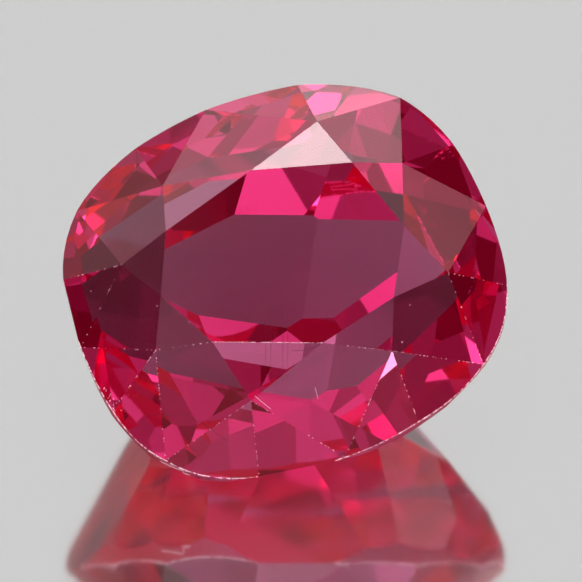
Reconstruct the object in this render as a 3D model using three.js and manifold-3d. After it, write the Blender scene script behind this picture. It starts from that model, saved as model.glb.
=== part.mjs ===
import * as THREE from 'three';
import { mergeVertices } from 'three/addons/utils/BufferGeometryUtils.js';
import Module from 'manifold-3d';

// A cushion-cut ruby lying on one of its lower facets, table leaning towards the viewer (-Y).
// Millimetres, +Z up. The stone is described in its own frame first (table normal = +w, middle of
// the girdle at the origin) and is tilted onto its resting facet at the end.

const wasm = await Module();
wasm.setup();

// Driving dimensions.
const stoneLength = 6.5;
const halfLength = stoneLength / 2;
const tableHeight = 0.367 * halfLength;
const girdleHalf = 0.037 * halfLength;
const starDrop = 0.088 * halfLength;
const restTilt = 38.5;
const restDepth = 0.8 * halfLength;
const lowerTurn = -8;
const shoulderTurn = 11;
const shoulderAngle = 66;
const stepDepth = 0.46 * halfLength;
const keelDepth = 0.71 * halfLength;

const degrees = THREE.MathUtils.degToRad;

// Girdle outline: a cushion turned in its plane, as a radius that swells and narrows with the turn.
const outlineMean = 0.969 * halfLength;
const outlineTurn = 22.5;
const outlineSwell = { 2: 0.0607, 4: -0.0316, 6: -0.0093 };

function rimRadius(turn) {
  const angle = degrees(turn - outlineTurn);
  let share = 1;
  for (const [lobes, swell] of Object.entries(outlineSwell)) {
    share += swell * Math.cos(lobes * angle);
  }
  return outlineMean * share;
}

function rimPoint(turn, height) {
  const radius = rimRadius(turn);
  return new THREE.Vector3(radius * Math.cos(degrees(turn)), radius * Math.sin(degrees(turn)), height);
}

// The point of the rim that lies furthest in one direction, where a facet facing that way touches it.
function rimTouch(turn) {
  let best = { reach: 0, turn };
  for (let step = -40; step <= 40; step += 0.25) {
    const reach = rimRadius(turn + step) * Math.cos(degrees(step));
    if (reach > best.reach) {
      best = { reach, turn: turn + step };
    }
  }
  return best;
}

function facing(turn, angle) {
  const out = Math.sin(degrees(angle));
  return new THREE.Vector3(out * Math.cos(degrees(turn)), out * Math.sin(degrees(turn)), Math.cos(degrees(angle)));
}

// Crown: eight main facets. Each has the turn that it faces and the table corner that it rises to.
// Where a steep lower main was cut under it too, that has an angle to the girdle and lies in from it.
const crownMains = [
  { faces: 153.6, corner: [-0.544, 0.135] },
  { faces: 113.5, corner: [-0.155, 0.424], lower: { angle: 62.5, inset: 0.03 } },
  { faces: 62.9, corner: [0.307, 0.462] },
  { faces: 21.8, corner: [0.545, 0.161] },
  { faces: -34.5, corner: [0.497, -0.18], lower: { angle: 74, inset: 0.01 } },
  { faces: -70.0, corner: [0.173, -0.396], lower: { angle: 71, inset: 0.035 } },
  { faces: -118.8, corner: [-0.33, -0.392] },
  { faces: -158.9, corner: [-0.566, -0.173], lower: { angle: 61.5, inset: 0.05 } },
];

const facets = [];
facets.push(new THREE.Plane(new THREE.Vector3(0, 0, 1), -tableHeight));

for (const main of crownMains) {
  const [x, y] = main.corner;
  main.top = new THREE.Vector3(x * halfLength, y * halfLength, tableHeight);
  main.touch = rimTouch(main.faces);
  const flat = facing(main.faces, 90);
  const run = main.touch.reach - main.top.dot(flat);
  const slope = THREE.MathUtils.radToDeg(Math.atan2(tableHeight - girdleHalf, run));
  main.plane = new THREE.Plane().setFromNormalAndCoplanarPoint(facing(main.faces, slope), main.top);
  facets.push(main.plane);
}

function meet(a, b, c) {
  const point = new THREE.Vector3();
  const bc = b.normal.clone().cross(c.normal).multiplyScalar(-a.constant);
  const ca = c.normal.clone().cross(a.normal).multiplyScalar(-b.constant);
  const ab = a.normal.clone().cross(b.normal).multiplyScalar(-c.constant);
  point.add(bc).add(ca).add(ab);
  return point.divideScalar(a.normal.dot(b.normal.clone().cross(c.normal)));
}

function facetThrough(a, b, c) {
  const plane = new THREE.Plane().setFromCoplanarPoints(a, b, c);
  if (plane.constant > 0) {
    plane.negate();
  }
  return plane;
}

const starLevel = new THREE.Plane(new THREE.Vector3(0, 0, 1), starDrop - tableHeight);
crownMains.forEach((main, index) => {
  const next = crownMains[(index + 1) % crownMains.length];
  const tip = meet(main.plane, next.plane, starLevel);
  facets.push(facetThrough(main.top, next.top, tip));
  let span = next.touch.turn - main.touch.turn;
  span -= 360 * Math.round(span / 360);
  const left = rimPoint(main.touch.turn, girdleHalf);
  const middle = rimPoint(main.touch.turn + span / 2, girdleHalf);
  const right = rimPoint(next.touch.turn, girdleHalf);
  facets.push(facetThrough(tip, left, middle));
  facets.push(facetThrough(tip, middle, right));
});

// Pavilion. Under each main facet of the crown lies a pair of steep shoulders, and under four of
// them, where the rough left room for it, a lower main between the two.
function pavilionFacet(turn, angle, radius, depth) {
  const normal = facing(turn, 180 - angle);
  const through = facing(turn, 90).multiplyScalar(radius);
  through.z = -depth;
  facets.push(new THREE.Plane().setFromNormalAndCoplanarPoint(normal, through));
}

for (const main of crownMains) {
  const turn = main.faces + lowerTurn;
  for (const side of [turn - shoulderTurn, turn + shoulderTurn]) {
    pavilionFacet(side, shoulderAngle, rimTouch(side).reach, girdleHalf);
  }
  if (main.lower) {
    const reach = rimTouch(turn).reach - main.lower.inset * halfLength;
    pavilionFacet(turn, main.lower.angle, reach, girdleHalf);
  }
}

// Below those come the steps and the facets round the keel, which an old hand cut leaves uneven. A
// facet has the turn that it faces, its angle to the girdle, and how far out it passes at the depth
// of its tier.
const steps = {
  frontLeft: { faces: -135, angle: 39, out: 0.795 },
  right: { faces: 0, angle: 51, out: 0.755 },
  backRight: { faces: 68, angle: 46, out: 0.7 },
  back: { faces: 99, angle: 50, out: 0.615 },
  backLeft: { faces: 117, angle: 56.5, out: 0.605 },
};
const keelFacets = {
  frontLeft: { faces: -120, angle: 28, out: 0.495 },
  frontRight: { faces: -54, angle: 28.5, out: 0.49 },
  right: { faces: -19, angle: 35.5, out: 0.46 },
  backRight: { faces: 39, angle: 23.5, out: 0.485 },
  backLeft: { faces: 116, angle: 21.5, out: 0.415 },
};

for (const step of Object.values(steps)) {
  pavilionFacet(step.faces, step.angle, step.out * halfLength, stepDepth);
}
for (const facet of Object.values(keelFacets)) {
  pavilionFacet(facet.faces, facet.angle, facet.out * halfLength, keelDepth);
}
pavilionFacet(-90, restTilt, 0, restDepth / Math.cos(degrees(restTilt)));

// The rough blank, and one cut for each facet.
function toSolid(geometry) {
  geometry.deleteAttribute('normal');
  geometry.deleteAttribute('uv');
  const merged = mergeVertices(geometry, 1e-5);
  return new wasm.Manifold(new wasm.Mesh({
    numProp: 3,
    vertProperties: new Float32Array(merged.attributes.position.array),
    triVerts: new Uint32Array(merged.index.array),
  }));
}

const rimSteps = 96;
const outline = new THREE.Shape();
for (let step = 0; step < rimSteps; step += 1) {
  const point = rimPoint((360 * step) / rimSteps, 0);
  if (step === 0) {
    outline.moveTo(point.x, point.y);
  } else {
    outline.lineTo(point.x, point.y);
  }
}
const blankDepth = 2 * stoneLength;
const blank = new THREE.ExtrudeGeometry(outline, { depth: blankDepth, bevelEnabled: false });
blank.translate(0, 0, -blankDepth / 2);
let stone = toSolid(blank);

const lap = 4 * stoneLength;
for (const facet of facets) {
  const waste = new THREE.BoxGeometry(lap, lap, lap);
  const turn = new THREE.Quaternion().setFromUnitVectors(new THREE.Vector3(0, 0, 1), facet.normal);
  waste.translate(0, 0, lap / 2);
  waste.applyQuaternion(turn);
  const foot = facet.normal.clone().multiplyScalar(-facet.constant);
  waste.translate(foot.x, foot.y, foot.z);
  stone = stone.subtract(toSolid(waste));
}

// Facet corners closer together than a polisher could tell apart are one corner.
const cornerGap = 0.004;

function withSharpCorners(mesh) {
  const raw = new THREE.BufferGeometry();
  raw.setAttribute('position', new THREE.BufferAttribute(Float32Array.from(mesh.vertProperties), 3));
  raw.setIndex(new THREE.BufferAttribute(Uint32Array.from(mesh.triVerts), 1));
  const merged = mergeVertices(raw, cornerGap);
  const index = Array.from(merged.index.array);
  const kept = [];
  for (let start = 0; start < index.length; start += 3) {
    const [a, b, c] = index.slice(start, start + 3);
    if (a !== b && b !== c && c !== a) {
      kept.push(a, b, c);
    }
  }
  merged.setIndex(kept);
  return merged;
}

const geometry = withSharpCorners(stone.getMesh());

// Lay the stone on its resting facet, and put the origin under the middle of its box.
geometry.rotateX(degrees(restTilt));
geometry.computeBoundingBox();
const box = geometry.boundingBox;
geometry.translate(-(box.min.x + box.max.x) / 2, -(box.min.y + box.max.y) / 2, -box.min.z);

const material = new THREE.MeshStandardMaterial({ color: 0xb0123f, roughness: 0.05, metalness: 0 });
const ruby = new THREE.Mesh(geometry, material);
ruby.name = 'ruby';

const part = new THREE.Group();
part.add(ruby);

export default part;
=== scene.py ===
# %% [markdown]
# # A cushion-cut ruby on a glossy pale floor
# The object is one cut crystal, about 6.5 mm long, so nearly everything that is seen in it is
# light that went through the top, bounced off the lower facets and came out again. A likeness
# therefore depends on three things: the exact facet planes, the colour that the crystal takes out
# of the light along its path, and what stands around the stone to be mirrored in it. The facet
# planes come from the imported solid. This script finishes the edges and the girdle, puts the small
# faults on and inside the stone, gives it its material and builds the small studio.

# %% Frame
import math
import random
import bmesh
import bpy
from mathutils import Matrix, Vector
from mathutils.bvhtree import BVHTree


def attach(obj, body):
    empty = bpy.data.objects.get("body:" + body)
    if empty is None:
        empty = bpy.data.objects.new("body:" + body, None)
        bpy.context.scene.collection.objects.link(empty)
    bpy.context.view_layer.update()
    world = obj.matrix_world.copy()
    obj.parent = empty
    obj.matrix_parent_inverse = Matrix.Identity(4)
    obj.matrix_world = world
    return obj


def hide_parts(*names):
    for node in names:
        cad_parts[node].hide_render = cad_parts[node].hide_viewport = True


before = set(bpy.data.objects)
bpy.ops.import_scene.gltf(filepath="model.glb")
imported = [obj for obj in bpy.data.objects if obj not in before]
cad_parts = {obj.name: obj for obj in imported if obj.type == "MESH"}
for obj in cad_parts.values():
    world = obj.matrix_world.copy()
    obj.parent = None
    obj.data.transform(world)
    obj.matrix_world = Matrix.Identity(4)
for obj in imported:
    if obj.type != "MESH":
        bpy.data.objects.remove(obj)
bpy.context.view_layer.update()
stone_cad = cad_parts["ruby"]

# %% [markdown]
# ## Facets with worn edges
# A real polished stone has no mathematically sharp edge. Each facet junction is rounded over about
# a hundredth of a millimetre, and on a stone that has been handled these rounded strips catch the
# lamp as the fine bright lines seen along the table. The triangles of the solid are first joined
# back into flat facets, then every junction gets a narrow rounded strip. A Bevel modifier could
# round them too, but the triangles have to be joined first, so the mesh tools do both. The work is
# done in millimetres, because those tools round off lengths as small as these are in metres.

# %% The polished stone
MM = 0.001
TABLE_TILT = math.radians(38.5)
table_normal = Vector((0.0, -math.sin(TABLE_TILT), math.cos(TABLE_TILT)))
GEM, GIRDLE = 0, 1
# In millimetres.
edge_width = 0.011
same_corner = 0.0005
# In degrees: triangles that turn less than this from each other are one facet.
same_facet = 0.4
# A girdle facet stands upright to the table, so hardly any of its normal lies along the table's.
upright_lean = 0.02

mesh = stone_cad.data.copy()
mesh.transform(Matrix.Scale(1 / MM, 4))
mesh.materials.clear()
facets = bmesh.new()
facets.from_mesh(mesh)
bmesh.ops.remove_doubles(facets, verts=facets.verts, dist=same_corner)
bmesh.ops.dissolve_limit(facets, angle_limit=math.radians(same_facet), verts=facets.verts,
                         edges=facets.edges)
print(len(facets.faces), "facets")
junctions = []
for edge in facets.edges:
    sides = [face.normal.dot(table_normal) for face in edge.link_faces]
    junctions.append({"ends": [v.co * MM for v in edge.verts], "sides": sorted(sides)})
for face in facets.faces:
    upright = abs(face.normal.dot(table_normal)) < upright_lean
    face.material_index = GIRDLE if upright else GEM
    face.smooth = False
bmesh.ops.bevel(facets, geom=facets.edges[:], offset=edge_width, offset_type="WIDTH", segments=2,
                profile=0.5, affect="EDGES", clamp_overlap=True, material=-1)
bmesh.ops.triangulate(facets, faces=[f for f in facets.faces if len(f.verts) > 4])
facets.to_mesh(mesh)
facets.free()
mesh.transform(Matrix.Scale(MM, 4))
polished = bpy.data.objects.new("polished_stone", mesh)
bpy.context.scene.collection.objects.link(polished)
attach(polished, "root")
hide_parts("ruby")
print(len(mesh.polygons), "faces after rounding the junctions")

# %% [markdown]
# ## Camera
# The camera stands a quarter of a metre away with a long lens, 35.5 degrees above the floor, which
# gives the outline and the table of the photo. The lens is set so that one picture element is as
# wide as it is there, and the camera is aimed so that the middle of the girdle falls where it does.

# %% Camera
CAMERA_ELEVATION = math.radians(35.5)
camera_distance = 0.25
picture_side = 582
stone_length = 6.5 * MM
stone_in_picture = 436
pixel = stone_length / stone_in_picture
# Where the middle of the girdle shows in the picture, and how high it is over the floor and under
# the table, all measured in picture elements.
ring_in_picture = (284.9, 282.0)
ring_height = 174.3 * pixel
table_height = 79.7 * pixel
away = Vector((0.0, math.cos(CAMERA_ELEVATION), -math.sin(CAMERA_ELEVATION)))
up = Vector((0.0, math.sin(CAMERA_ELEVATION), math.cos(CAMERA_ELEVATION)))
right = Vector((1.0, 0.0, 0.0))
# The origin is under the middle of the box, so the ring centre is found from where the table is.
table_faces = [p for p in stone_cad.data.polygons if p.normal.dot(table_normal) > 0.9999]
table_corners = [stone_cad.data.vertices[i].co for p in table_faces for i in p.vertices]
ring_level = max(c.dot(table_normal) for c in table_corners) - table_height
flat_axis = Vector((0.0, math.cos(TABLE_TILT), math.sin(TABLE_TILT)))
ring_centre = table_normal * ring_level
ring_centre += flat_axis * ((ring_height - ring_centre.z) / flat_axis.z)
print("ring centre", [round(1000 * c, 3) for c in ring_centre], "mm")
aim = ring_centre + right * (picture_side / 2 - ring_in_picture[0]) * pixel
aim += up * (ring_in_picture[1] - picture_side / 2) * pixel
view = bpy.data.cameras.new("camera")
view.sensor_width = 36.0
view.lens = view.sensor_width * camera_distance / (picture_side * pixel)
view.clip_start = 0.01
view.clip_end = 5.0
camera = bpy.data.objects.new("camera", view)
camera.location = aim - away * camera_distance
camera.rotation_mode = "QUATERNION"
camera.rotation_quaternion = away.to_track_quat("-Z", "Y")
bpy.context.scene.collection.objects.link(camera)
bpy.context.scene.camera = camera
print("lens", round(view.lens), "mm, one picture element is", round(1e6 * pixel, 2), "micrometres")

# %% [markdown]
# ## Finding a place on the stone
# Faults are placed by where they show in the photo. A line of sight through a point of the picture
# is followed to the skin of the stone, and, for a fault inside, it is bent there by the refractive
# index and followed further in. A place just outside the outline is first moved in to it.

# %% Finding a place on the stone
RUBY_INDEX = 1.765
# How far a place outside the outline is moved in at a time, as a share of the way to the middle.
nudge = 0.01
skin = BVHTree.FromPolygons([v.co for v in mesh.vertices], [p.vertices for p in mesh.polygons])


def line_of_sight(x, y):
    """The direction from the camera through a point of the picture, and the spot and slope it meets."""
    seen_at = aim + right * (x - picture_side / 2) * pixel + up * (picture_side / 2 - y) * pixel
    sight = (seen_at - camera.location).normalized()
    hit, normal = skin.ray_cast(camera.location, sight)[:2]
    return sight, hit, normal


def on_stone(x, y, depth=0.0):
    """The point of the stone seen at a point of the picture, or a point at a depth under it."""
    sight, hit, normal = line_of_sight(x, y)
    while hit is None:
        x += nudge * (ring_in_picture[0] - x)
        y += nudge * (ring_in_picture[1] - y)
        sight, hit, normal = line_of_sight(x, y)
    if depth == 0.0:
        return hit
    across = sight.dot(normal)
    bent = math.sqrt(1 - (1 - across ** 2) / RUBY_INDEX ** 2)
    inward = sight / RUBY_INDEX - normal * (across / RUBY_INDEX + bent)
    return hit + inward.normalized() * depth


print("middle of the picture meets", [round(1000 * c, 2) for c in on_stone(291, 291)], "mm")

# %% [markdown]
# ## Nodes in one call
# A material, the surroundings and a Geometry Nodes tree are all made of nodes. They could be joined
# up by hand in an editor, but one call for each node keeps the whole recipe in the script. A node's
# settings are set first, because they can change which sockets it shows, and then each socket gets a
# value or a link. A socket is found by its identifier, which unlike its name is never shared.


# %% Nodes in one call
def add_node(tree, kind, settings, sockets):
    """A node of a tree, with its settings and the values or links of its sockets."""
    made = tree.nodes.new(kind)
    for name, value in settings.items():
        setattr(made, name, value)
    for name, value in sockets.items():
        place = [s for s in made.inputs if s.identifier in (name, name.replace("_", " "))][0]
        if isinstance(value, Value):
            value = value.socket
        if isinstance(value, bpy.types.NodeSocket):
            tree.links.new(value, place)
        else:
            place.default_value = value
    return made


# %% [markdown]
# ## Shader arithmetic
# A pattern is a sum of other values, and each step of the sum is a Math node. A small class wraps a
# shader socket, so that such a pattern can be written as an ordinary sum.

# %% Shader arithmetic
MATH_SOCKETS = ("Value", "Value_001", "Value_002")


def maths(tree, operation, *values, **settings):
    """A Math node on up to three values."""
    settings["operation"] = operation
    made = add_node(tree, "ShaderNodeMath", settings, dict(zip(MATH_SOCKETS, values)))
    return Value(tree, made.outputs[0])


class Value:
    """A shader socket that can be added, multiplied and divided like a number."""

    def __init__(self, tree, socket):
        self.tree = tree
        self.socket = socket

    def maths(self, operation, *others, **settings):
        return maths(self.tree, operation, self, *others, **settings)

    def __add__(self, other):
        return self.maths("ADD", other)

    def __radd__(self, other):
        return self.maths("ADD", other)

    def __sub__(self, other):
        return self.maths("SUBTRACT", other)

    def __rsub__(self, other):
        return maths(self.tree, "SUBTRACT", other, self)

    def __mul__(self, other):
        return self.maths("MULTIPLY", other)

    def __rmul__(self, other):
        return self.maths("MULTIPLY", other)

    def __truediv__(self, other):
        return self.maths("DIVIDE", other)

    def clamped(self):
        """This value, held between 0 and 1."""
        return self.maths("ADD", 0.0, use_clamp=True)

    def blend(self, low, high):
        """A colour between two others, by this value."""
        colours = {"A_Color": (*low, 1.0), "B_Color": (*high, 1.0)}
        made = add_node(self.tree, "ShaderNodeMix", {"data_type": "RGBA"},
                        {"Factor_Float": self, **colours})
        return Value(self.tree, [s for s in made.outputs if s.identifier == "Result_Color"][0])


# %% [markdown]
# ## Materials, node by node
# A second class holds a material and adds its nodes. Its noise reads the object's own coordinates,
# so a pattern stays on the stone when the stone is moved.

# %% Materials, node by node
OBJECT_COORDINATES = 3


class Finish:
    """A material whose nodes are added one call at a time."""

    def __init__(self, name):
        self.material = bpy.data.materials.new(name)
        self.material.use_nodes = True
        self.tree = self.material.node_tree
        self.tree.nodes.clear()
        self.output = self.tree.nodes.new("ShaderNodeOutputMaterial")

    def node(self, kind, out=0, **sockets):
        return Value(self.tree, add_node(self.tree, kind, {}, sockets).outputs[out])

    def noise(self, scale, **settings):
        """A noise pattern that is fixed to the object."""
        place = self.node("ShaderNodeTexCoord", out=OBJECT_COORDINATES)
        return self.node("ShaderNodeTexNoise", Vector=place, Scale=scale, **settings)

    def sum_of(self, first, second):
        return self.node("ShaderNodeAddShader", Shader=first, Shader_001=second)

    def mix_of(self, share, first, second):
        """The first shader, and as much of the second as the share says."""
        return self.node("ShaderNodeMixShader", Fac=share, Shader=first, Shader_001=second)

    def surface(self, value):
        self.tree.links.new(value.socket, self.output.inputs["Surface"])

    def volume(self, value):
        self.tree.links.new(value.socket, self.output.inputs["Volume"])


# %% [markdown]
# ## The crystal
# Ruby is corundum with a little chromium. Its refractive index is about 1.765. Over the width of the
# stone the chromium takes out nine tenths of the green and two thirds of the blue, and almost no
# red, which is why short paths look pink and long ones deep red. The absorption of each colour is
# stated over that width. Chromium also gives back a little of the light as red fluorescence. Here
# that is a painted red glow, which the volume gives off steadily whatever the light, and which keeps
# the darkest parts of the stone red instead of black. A tinted glass shader could be used, but it
# colours each passage through the surface alike, and only a volume makes long paths darker than
# short ones. The surface is a clear polish with faint uneven smears, and the girdle is ground
# matt, as cutters leave it.

# %% The crystal
stone_width = 0.0066
absorbed = {"red": 0.05, "green": 2.2, "blue": 1.03}
# The volume takes out its density times what its colour lacks, so the density is a little over the
# strongest absorption.
density = 1.05 * absorbed["green"] / stone_width
passing = [1 - absorbed[c] / stone_width / density for c in ("red", "green", "blue")]
# The painted glow: its colour, and its strength over the stone's width.
painted_glow_colour = (1.0, 0.01, 0.12, 1.0)
painted_glow_over_width = 0.095


def fill(finish):
    """The inside of the crystal: its absorption and a steady painted red glow, standing in for its
    fluorescence.
    """
    dimming = finish.node("ShaderNodeVolumeAbsorption", Color=(*passing, 1.0), Density=density)
    # Painted glow: a steady red light from the volume, standing in for the ruby's fluorescence.
    glow = finish.node("ShaderNodeEmission", Color=painted_glow_colour, Strength=painted_glow_over_width / stone_width)
    finish.volume(finish.sum_of(dimming, glow))


crystal = Finish("ruby_crystal")
smear = crystal.noise(900.0, Detail=3.0)
crystal.surface(crystal.node(
    "ShaderNodeBsdfPrincipled",
    Base_Color=smear.blend((1.0, 1.0, 1.0), (1.0, 0.985, 0.99)),
    Roughness=0.01 + 0.03 * smear,
    IOR=RUBY_INDEX,
    Transmission_Weight=1.0,
))
fill(crystal)

ground = Finish("ground_girdle")
grit = ground.noise(14000.0, Detail=4.0)
grit_height = 0.02 * MM
ground_bump = ground.node("ShaderNodeBump", Strength=0.5, Distance=grit_height, Height=grit)
ground.surface(ground.node(
    "ShaderNodeBsdfPrincipled",
    Base_Color=grit.blend((1.0, 0.82, 0.86), (1.0, 0.95, 0.96)),
    Roughness=0.25 + 0.3 * grit,
    IOR=RUBY_INDEX,
    Transmission_Weight=1.0,
    Normal=ground_bump,
))
fill(ground)
mesh.materials.append(crystal.material)
mesh.materials.append(ground.material)
print("over the stone's width pass", {c: round(math.exp(-absorbed[c]), 2) for c in absorbed})

# %% [markdown]
# ## Geometry Nodes in a few lines
# Small repeated things, such as the chips along an edge, are made by Geometry Nodes. This helper
# opens a tree with named inputs, adds nodes one call at a time, ends every tree in Realize
# Instances and Set Material, and turns the result into a plain mesh.


# %% Geometry Nodes in a few lines
class Growth:
    """A Geometry Nodes tree that grows something on a starting mesh."""

    def __init__(self, name, sizes):
        self.name = name
        self.sizes = sizes
        self.tree = bpy.data.node_groups.new(name, "GeometryNodeTree")
        side = self.tree.interface
        side.new_socket("Geometry", in_out="INPUT", socket_type="NodeSocketGeometry")
        for label, value in sizes.items():
            kind = {int: "NodeSocketInt", float: "NodeSocketFloat"}.get(type(value), "NodeSocketMaterial")
            side.new_socket(label, in_out="INPUT", socket_type=kind)
        side.new_socket("Geometry", in_out="OUTPUT", socket_type="NodeSocketGeometry")
        self.given = self.tree.nodes.new("NodeGroupInput")
        self.end = self.tree.nodes.new("NodeGroupOutput")

    def input(self, label):
        return self.given.outputs[label]

    def node(self, kind, settings=None, out=0, **sockets):
        return add_node(self.tree, kind, settings or {}, sockets).outputs[out]

    def bake(self, corners, links, geometry):
        """Ends the tree, grows it on a mesh of corners and links, and keeps the result as a mesh."""
        real = self.node("GeometryNodeRealizeInstances", Geometry=geometry)
        painted = self.node("GeometryNodeSetMaterial", Geometry=real, Material=self.input("Material"))
        self.tree.links.new(painted, self.end.inputs[0])
        shape = bpy.data.meshes.new(self.name + "_start")
        shape.from_pydata([Vector(c) for c in corners], links, [])
        start = bpy.data.objects.new(self.name + "_start", shape)
        bpy.context.scene.collection.objects.link(start)
        modifier = start.modifiers.new(self.name, "NODES")
        modifier.node_group = self.tree
        for item in self.tree.interface.items_tree:
            if item.in_out == "INPUT" and item.name in self.sizes:
                modifier[item.identifier] = self.sizes[item.name]
        state = bpy.context.evaluated_depsgraph_get()
        state.update()
        result = bpy.data.meshes.new_from_object(start.evaluated_get(state))
        bpy.data.objects.remove(start)
        made = bpy.data.objects.new(self.name, result)
        bpy.context.scene.collection.objects.link(made)
        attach(made, "root")
        print(self.name, len(result.polygons), "faces")


# %% [markdown]
# ## Chips along the edges
# Tiny chips catch the light along the front edge of the table and along the upper edge of the
# girdle, as a dotted pale line. Each is a grain up to a few hundredths of a millimetre wide, set on
# the edge. They are strung at random along the edges at the front, which is where the photo shows
# the wear, and are larger along the girdle. Notches cut into the edge would be truer, but at this
# size they look no different and would break up the facets. The many broken faces of a real chip
# throw about more light than one smooth grain can, so the grains carry a painted glint: a faint glow
# of their own in pale pink and white, which stands in for that reflected lamp light. The scratches
# and specks below share this finish and its painted glint.

# %% Chips along the edges
chip_and_painted_glint = Finish("chip_with_painted_glint")
uneven = chip_and_painted_glint.noise(30000.0)
# The painted glow of the grains is too small to light anything, so they aren't treated as lamps.
chip_and_painted_glint.material.cycles.emission_sampling = "NONE"
chip_and_painted_glint.surface(chip_and_painted_glint.node(
    "ShaderNodeBsdfPrincipled",
    Base_Color=uneven.blend((0.95, 0.62, 0.72), (1.0, 0.96, 0.97)),
    Roughness=0.2 + 0.3 * uneven,
    IOR=RUBY_INDEX,
    Transmission_Weight=0.3,
    # Painted glint: an emission in the chip's pale colours, standing in for lamp light caught by broken
    # faces.
    Emission_Color=uneven.blend((0.50, 0.24, 0.32), (1.0, 0.80, 0.88)),
    Emission_Strength=0.55,
))


# In radians, about each axis.
FULL_TURN = (6.3, 6.3, 6.3)


def strew(growth, points, smallest, largest, **choice):
    """Grains of uneven turn on points, stretched between the smallest and the largest shares."""
    seed = growth.input("Seed")
    grain = growth.node("GeometryNodeMeshIcoSphere", Radius=growth.input("Size"), Subdivisions=1)
    turned = growth.node("FunctionNodeRandomValue", {"data_type": "FLOAT_VECTOR"},
                         Min=(0, 0, 0), Max=FULL_TURN, Seed=seed)
    drawn = growth.node("FunctionNodeRandomValue", {"data_type": "FLOAT_VECTOR"},
                        Min=smallest, Max=largest, Seed=seed)
    return growth.node("GeometryNodeInstanceOnPoints", Points=points, Instance=grain,
                       Rotation=turned, Scale=drawn, **choice)


def string_chips(name, chosen, gap, size, share, seed):
    """Grains strung at random along the junctions that a test chooses."""
    sizes = {"Gap": gap, "Size": size, "Share": share, "Seed": seed, "Material": chip_and_painted_glint.material}
    growth = Growth(name, sizes)
    curve = growth.node("GeometryNodeMeshToCurve", Mesh=growth.input("Geometry"))
    points = growth.node("GeometryNodeCurveToPoints", {"mode": "LENGTH"}, Curve=curve,
                         Length=growth.input("Gap"))
    kept = growth.node("FunctionNodeRandomValue", {"data_type": "BOOLEAN"}, out=3,
                       Probability=growth.input("Share"), Seed=growth.input("Seed"))
    grains = strew(growth, points, smallest=(0.3, 0.3, 0.3), largest=(1.4, 1.0, 0.8), Selection=kept)
    ends = [end for edge in junctions if chosen(edge) for end in edge["ends"]]
    links = [(i, i + 1) for i in range(0, len(ends), 2)]
    growth.bake(ends, links, grains)


# How much of a facet's normal lies along the table's: nearly all, little, and next to nothing.
LEVEL, STEEP, UPRIGHT = 0.999, 0.05, 0.02
# How much of an edge's length goes from left to right where it counts as running across.
ACROSS = 0.9
front_limit = ring_centre.y - 0.2 * MM
low_on_crown = ring_level + 50 * pixel


def middle_of(edge):
    return (edge["ends"][0] + edge["ends"][1]) / 2


def on_front(edge):
    return middle_of(edge).y < front_limit


def runs_across(edge):
    run = edge["ends"][1] - edge["ends"][0]
    return abs(run.x) > ACROSS * run.length


def is_table_edge(edge):
    return edge["sides"][1] > LEVEL and on_front(edge) and runs_across(edge)


def is_girdle_edge(edge):
    return abs(edge["sides"][0]) < UPRIGHT < edge["sides"][1] and on_front(edge)


def is_crown_edge(edge):
    if edge["sides"][0] < STEEP or edge["sides"][1] > LEVEL or not on_front(edge):
        return False
    return runs_across(edge) or middle_of(edge).dot(table_normal) < low_on_crown


string_chips("table_edge_chips", is_table_edge, gap=0.009 * MM, size=0.009 * MM, share=0.55, seed=3)
string_chips("girdle_edge_chips", is_girdle_edge, gap=0.015 * MM, size=0.015 * MM, share=0.6, seed=7)
string_chips("crown_edge_chips", is_crown_edge, gap=0.016 * MM, size=0.009 * MM, share=0.16, seed=11)

# %% [markdown]
# ## Scratches and threads
# A few strokes are neither edges nor reflections: a white scratch, a short one and a bent one on the
# front of the crown, a scrape on the girdle, a healed crack, a thread in the window, and four
# upright growth threads from the window down to the front. They could be painted on the facets, but
# then those inside the stone would lie at the wrong depth. Each is a fine rod that follows points
# given by their places in the photo, on the skin or at a depth under it.

# %% Scratches and threads
wisp = Finish("pale_thread")
beads = wisp.noise(9000.0, Detail=2.0)
thread_shade = wisp.node("ShaderNodeBsdfPrincipled", Roughness=1.0, Specular_IOR_Level=0.0,
                         Base_Color=beads.blend((0.60, 0.12, 0.25), (0.95, 0.55, 0.66)))
nothing = wisp.node("ShaderNodeBsdfTransparent")
thickest = 0.5
wisp.surface(wisp.mix_of(thickest * beads, nothing, thread_shade))


def stroke(name, route, depth, thickness, finish, steps=12):
    """A fine rod through places of the picture, on the skin or at a depth inside."""
    corners = []
    for start, stop in zip(route, route[1:]):
        for step in range(steps + 1):
            share = step / steps
            x = start[0] + (stop[0] - start[0]) * share
            y = start[1] + (stop[1] - start[1]) * share
            corners.append(on_stone(x, y, depth))
    links = [(i, i + 1) for i in range(len(corners) - 1)]
    growth = Growth(name, {"Thickness": thickness, "Material": finish.material})
    curve = growth.node("GeometryNodeMeshToCurve", Mesh=growth.input("Geometry"))
    ring = growth.node("GeometryNodeCurvePrimitiveCircle", Resolution=6,
                       Radius=growth.input("Thickness"))
    rod = growth.node("GeometryNodeCurveToMesh", Curve=curve, Profile_Curve=ring)
    growth.bake(corners, links, rod)


white_scratch = [(255, 396), (262, 402), (271, 409)]
short_scratch = [(315, 387), (318, 399)]
girdle_scrape = [(159, 463), (174, 470), (190, 475)]
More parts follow.
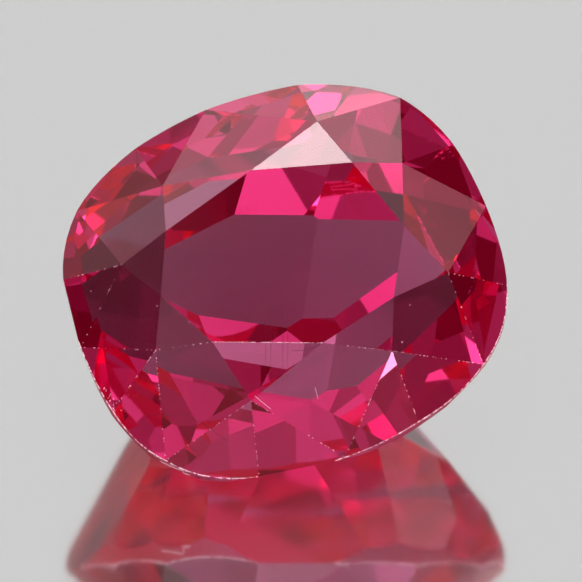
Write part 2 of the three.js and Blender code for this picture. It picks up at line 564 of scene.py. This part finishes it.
# These three use the chip finish, with its painted glint.
stroke("white_scratch", white_scratch, depth=0.0, thickness=0.003 * MM, finish=chip_and_painted_glint)
stroke("short_scratch", short_scratch, depth=0.0, thickness=0.0025 * MM, finish=chip_and_painted_glint)
stroke("girdle_scrape", girdle_scrape, depth=0.0, thickness=0.006 * MM, finish=chip_and_painted_glint)
bent_scratch = [(291, 351), (305, 350), (316, 347), (323, 341)]
healed_crack = [(144, 415), (163, 416), (183, 413), (202, 423), (216, 433), (229, 442)]
window_thread = [(208, 301), (225, 296), (242, 292), (265, 290)]
stroke("bent_scratch", bent_scratch, depth=0.02 * MM, thickness=0.005 * MM, finish=wisp)
stroke("healed_crack", healed_crack, depth=0.03 * MM, thickness=0.006 * MM, finish=wisp)
stroke("window_thread", window_thread, depth=0.5 * MM, thickness=0.004 * MM, finish=wisp)
for number, x in enumerate((265, 270, 282, 287)):
    thread = [(x, 300), (x + 1, 340), (x, 384)]
    name = "growth_thread_%d" % (number + 1)
    stroke(name, thread, depth=0.9 * MM, thickness=0.004 * MM, finish=wisp)

# %% [markdown]
# ## Specks
# A few white specks lie on the stone, and a frosted patch of fine chips runs down its left edge.
# They are grains too, set on points given by their places in the photo.

# %% Specks
def scatter_grains(name, places, size, seed):
    """Grains on the skin of the stone at places of the picture."""
    growth = Growth(name, {"Size": size, "Seed": seed, "Material": chip_and_painted_glint.material})
    points = growth.node("GeometryNodeMeshToPoints", Mesh=growth.input("Geometry"))
    grains = strew(growth, points, smallest=(0.4, 0.4, 0.4), largest=(1.5, 1.1, 0.9))
    growth.bake([on_stone(x, y) for x, y in places], [], grains)


specks = [(91, 291), (157, 306), (189, 322), (410, 305), (402, 342)]
# The specks and the frosted patch use the chip finish, with its painted glint.
scatter_grains("white_specks", specks, size=0.011 * MM, seed=5)
frost_start = (104, 385)
frost_end = (118, 412)
frost_chips = 26
half_across, half_along = 3, 2
chance = random.Random(9)
frost = []
for number in range(frost_chips):
    share = chance.random()
    x = frost_start[0] + (frost_end[0] - frost_start[0]) * share
    x += chance.uniform(-half_across, half_across)
    y = frost_start[1] + (frost_end[1] - frost_start[1]) * share
    y += chance.uniform(-half_along, half_along)
    frost.append((x, y))
scatter_grains("frosted_edge", frost, size=0.009 * MM, seed=13)

# %% [markdown]
# ## Silk
# Natural corundum holds fine needles, the silk. Under the front of the crown they hang together as
# a thin pale veil. A cloud in the volume would be truer but very slow, so a crumpled sheet, up to a
# quarter of a millimetre under the facets, carries it, and a noise pattern lets nearly all of the
# light through the sheet.

# %% Silk
silk = Finish("silk_veil")
cloud = silk.noise(1600.0, Detail=5.0, Roughness=0.65)
silk_shade = silk.node("ShaderNodeBsdfPrincipled", Roughness=1.0, Specular_IOR_Level=0.0,
                       Base_Color=cloud.blend((0.70, 0.14, 0.30), (0.95, 0.45, 0.58)))
nothing = silk.node("ShaderNodeBsdfTransparent")
clear_below = 0.42
haze = 0.4
silk.surface(silk.mix_of((haze * (cloud - clear_below)).clamped(), nothing, silk_shade))


# How fast the veil's folds follow each other, in radians for each picture element.
folds_across, folds_down = 0.09, 0.13


def hang_veil(name, columns, rows, depth, crumple, finish):
    """A sheet inside the stone that fills a part of the picture."""
    points = []
    for y in rows:
        for x in columns:
            fold = math.sin(folds_across * x) * math.cos(folds_down * y)
            points.append(on_stone(x, y, depth + crumple * fold))
    across = len(columns)
    faces = []
    for row in range(len(rows) - 1):
        for column in range(across - 1):
            first = row * across + column
            faces.append((first, first + 1, first + across + 1, first + across))
    shape = bpy.data.meshes.new(name)
    shape.from_pydata(points, [], faces)
    shape.materials.append(finish.material)
    made = bpy.data.objects.new(name, shape)
    bpy.context.scene.collection.objects.link(made)
    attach(made, "root")
    print(name, len(faces), "faces")


hang_veil("silk_veil", range(150, 334, 8), range(354, 404, 6), depth=0.2 * MM, crumple=0.05 * MM,
          finish=silk)

# %% [markdown]
# ## Floor
# The stone lies on a smooth pale sheet that mirrors almost everything: the photo shows the underside
# of the stone in it, a little blurred. The sheet is mostly glossy and for the rest matt. It lies two
# thousandths of a millimetre under the stone, so that the two faces don't fall together.

# %% Floor
floor_reach = 0.5
floor_gap = 0.002 * MM
mirror_share = 0.81
corners = [(-floor_reach, -floor_reach, 0), (floor_reach, -floor_reach, 0),
           (floor_reach, floor_reach, 0), (-floor_reach, floor_reach, 0)]
floor_mesh = bpy.data.meshes.new("floor")
floor_mesh.from_pydata(corners, [], [(0, 1, 2, 3)])
floor = bpy.data.objects.new("floor", floor_mesh)
floor.location.z = -floor_gap
bpy.context.scene.collection.objects.link(floor)
sheet = Finish("pale_floor")
matt = sheet.node("ShaderNodeBsdfDiffuse", Color=(0.80, 0.80, 0.80, 1.0))
gloss = sheet.node("ShaderNodeBsdfAnisotropic", Color=(1.0, 1.0, 1.0, 1.0), Roughness=0.09)
sheet.surface(sheet.mix_of(mirror_share, matt, gloss))
floor_mesh.materials.append(sheet.material)
print("floor reaches", floor_reach, "m each way and mirrors", mirror_share, "of the light")

# %% [markdown]
# ## Light tent
# The stone mirrors everything round it many times over, so the surroundings are as much a part of
# the likeness as the facets are. They are a dome of soft white boxes, each given by the range of
# azimuth and elevation that it fills as seen from the stone, in degrees, and of round lamps.
# Azimuth 0 is straight behind the stone and 90 is to the right. The dome stays dark between the
# boxes, which gives the deep reds their depth, and where the table would mirror it straight at the
# camera, which keeps the view through the table clear. Area lights could be hung round the stone
# instead, but in so small a thing only their directions count, and a dome holds nothing else.

# %% Light tent
room = bpy.data.worlds.new("room")
bpy.context.scene.world = room
room.use_nodes = True
# The dome is smooth enough to be met by chance, without a map of its bright places.
room.cycles.sampling_method = "NONE"


class Dome(Finish):
    """The glow of the surroundings, as a sum of soft boxes on a dome."""

    def __init__(self, world, softness):
        self.tree = world.node_tree
        self.tree.nodes.clear()
        self.output = self.tree.nodes.new("ShaderNodeOutputWorld")
        towards = self.node("ShaderNodeTexCoord")
        parts = self.tree.nodes.new("ShaderNodeSeparateXYZ")
        self.tree.links.new(towards.socket, parts.inputs[0])
        self.east, self.north, self.high = (Value(self.tree, parts.outputs[i]) for i in range(3))
        self.turn = self.east.maths("ARCTAN2", self.north)
        self.lift = self.high.maths("ARCSINE")
        self.softness = math.radians(softness)
        self.light = 0.0
        self.count = 0

    def patch(self, azimuths, elevations):
        """1 inside a range of azimuth and of elevation, 0 outside it, with a soft edge between."""
        middle = math.radians(sum(azimuths) / 2)
        half = math.radians(azimuths[1] - azimuths[0]) / 2
        off = (self.turn - middle).maths("WRAP", math.pi, -math.pi)
        sideways = (half - off.maths("ABSOLUTE")) / self.softness + 0.5
        centre = math.radians(sum(elevations) / 2)
        rise = math.radians(elevations[1] - elevations[0]) / 2
        upright = (rise - (self.lift - centre).maths("ABSOLUTE")) / self.softness + 0.5
        return sideways.clamped() * upright.clamped()

    def box(self, azimuths, elevations, brightness):
        """A soft box, whose light is added to what is there."""
        self.light = self.patch(azimuths, elevations) * brightness + self.light
        self.count += 1

    def sheet(self, azimuths, elevations, brightness):
        """A plain backdrop, which hides what is behind it."""
        cover = self.patch(azimuths, elevations)
        self.light = self.light * (1 - cover) + cover * brightness

    def spot(self, azimuth, elevation, radius, brightness):
        """A round lamp."""
        a, e = math.radians(azimuth), math.radians(elevation)
        beside = self.east * (math.cos(e) * math.sin(a)) + self.north * (math.cos(e) * math.cos(a))
        off = (beside + self.high * math.sin(e)).maths("ARCCOSINE")
        shape = (math.radians(radius) - off) / self.softness + 0.5
        self.light = shape.clamped() * brightness + self.light
        self.count += 1

    def hang(self):
        self.surface(self.node("ShaderNodeBackground", Color=self.light, Strength=1.0))


# %% [markdown]
# ## Boxes and lamps
# A box has its azimuths, its elevations and its brightness, and a lamp its azimuth, elevation,
# radius and brightness. The boxes overlap, and where they do their light adds up.

# %% Boxes and lamps
dome = Dome(room, softness=3.0)
# Behind the stone.
dome.box((-46, -10), (0, 24), 0.16)
dome.box((-8, 34), (6, 24), 0.26)
dome.box((-28, 22), (21, 48), 0.15)
dome.box((-85, -32), (24, 36), 0.53)
dome.box((-16, -4), (24, 33), 0.78)
dome.box((-38, 16), (36, 42), 0.84)
dome.box((14, 28), (36, 45), 1.26)
dome.box((-50, 26), (48, 84), 0.10)
dome.box((-56, -50), (60, 75), 2.0)
# To the right.
dome.box((16, 68), (48, 69), 0.34)
dome.box((64, 110), (48, 75), 0.25)
dome.box((104, 148), (18, 36), 0.32)
dome.box((118, 136), (24, 87), 0.18)
dome.box((86, 148), (72, 87), 0.29)
# On the side of the camera.
dome.box((136, 208), (0, 12), 0.12)
dome.box((152, 214), (12, 24), 0.22)
dome.box((140, 176), (24, 45), 0.62)
dome.box((182, 202), (24, 36), 0.77)
dome.box((158, 172), (48, 60), 0.95)
dome.box((142, 158), (60, 87), 0.74)
dome.box((166, 260), (51, 66), 0.15)
dome.box((182, 260), (60, 84), 0.38)
# To the left, in front.
dome.box((202, 224), (3, 57), 0.12)
dome.box((218, 236), (15, 48), 0.18)
dome.box((226, 266), (15, 42), 0.24)
# Larger lamps.
dome.spot(-1, 75, 5, 3.9)
dome.spot(66, 30, 3, 1.0)
dome.spot(211, 33, 5, 0.6)
dome.spot(229, 45, 3, 4.5)
dome.spot(293, 18, 8, 0.34)
# Small bright lamps, each for one of the sharp flashes.
dome.spot(-9, 70, 2, 5.5)
dome.spot(6, 22, 2, 3.0)
dome.spot(-126, 34, 2, 1.6)
dome.spot(-33, 14, 2, 3.0)
dome.spot(18, 43, 2, 6.0)
dome.spot(-126, 46, 2, 1.6)
dome.spot(78, 7, 2, 1.0)
dome.spot(171, 52, 2, 1.2)
dome.spot(-87, 28, 2, 2.5)
dome.spot(-150, 14, 2, 2.0)
dome.spot(-150, 32, 2, 1.6)
dome.spot(-168, 7, 2, 1.5)
dome.spot(123, 34, 2, 1.0)
# The pale backdrop, which the camera sees mirrored in the floor round the stone.
dome.sheet((-6, 6), (30, 42), 0.71)
dome.hang()
print(dome.count, "boxes and lamps in the dome")

# %% [markdown]
# ## Light paths and finish
# Light is turned back many times inside a cut stone before it gets out, so the number of bounces is
# raised well above the usual one. Colours are shown without a film curve.

# %% Finish
bpy.context.scene.cycles.max_bounces = 32
bpy.context.scene.cycles.transmission_bounces = 32
bpy.context.scene.cycles.glossy_bounces = 12
bpy.context.scene.view_settings.view_transform = "Standard"
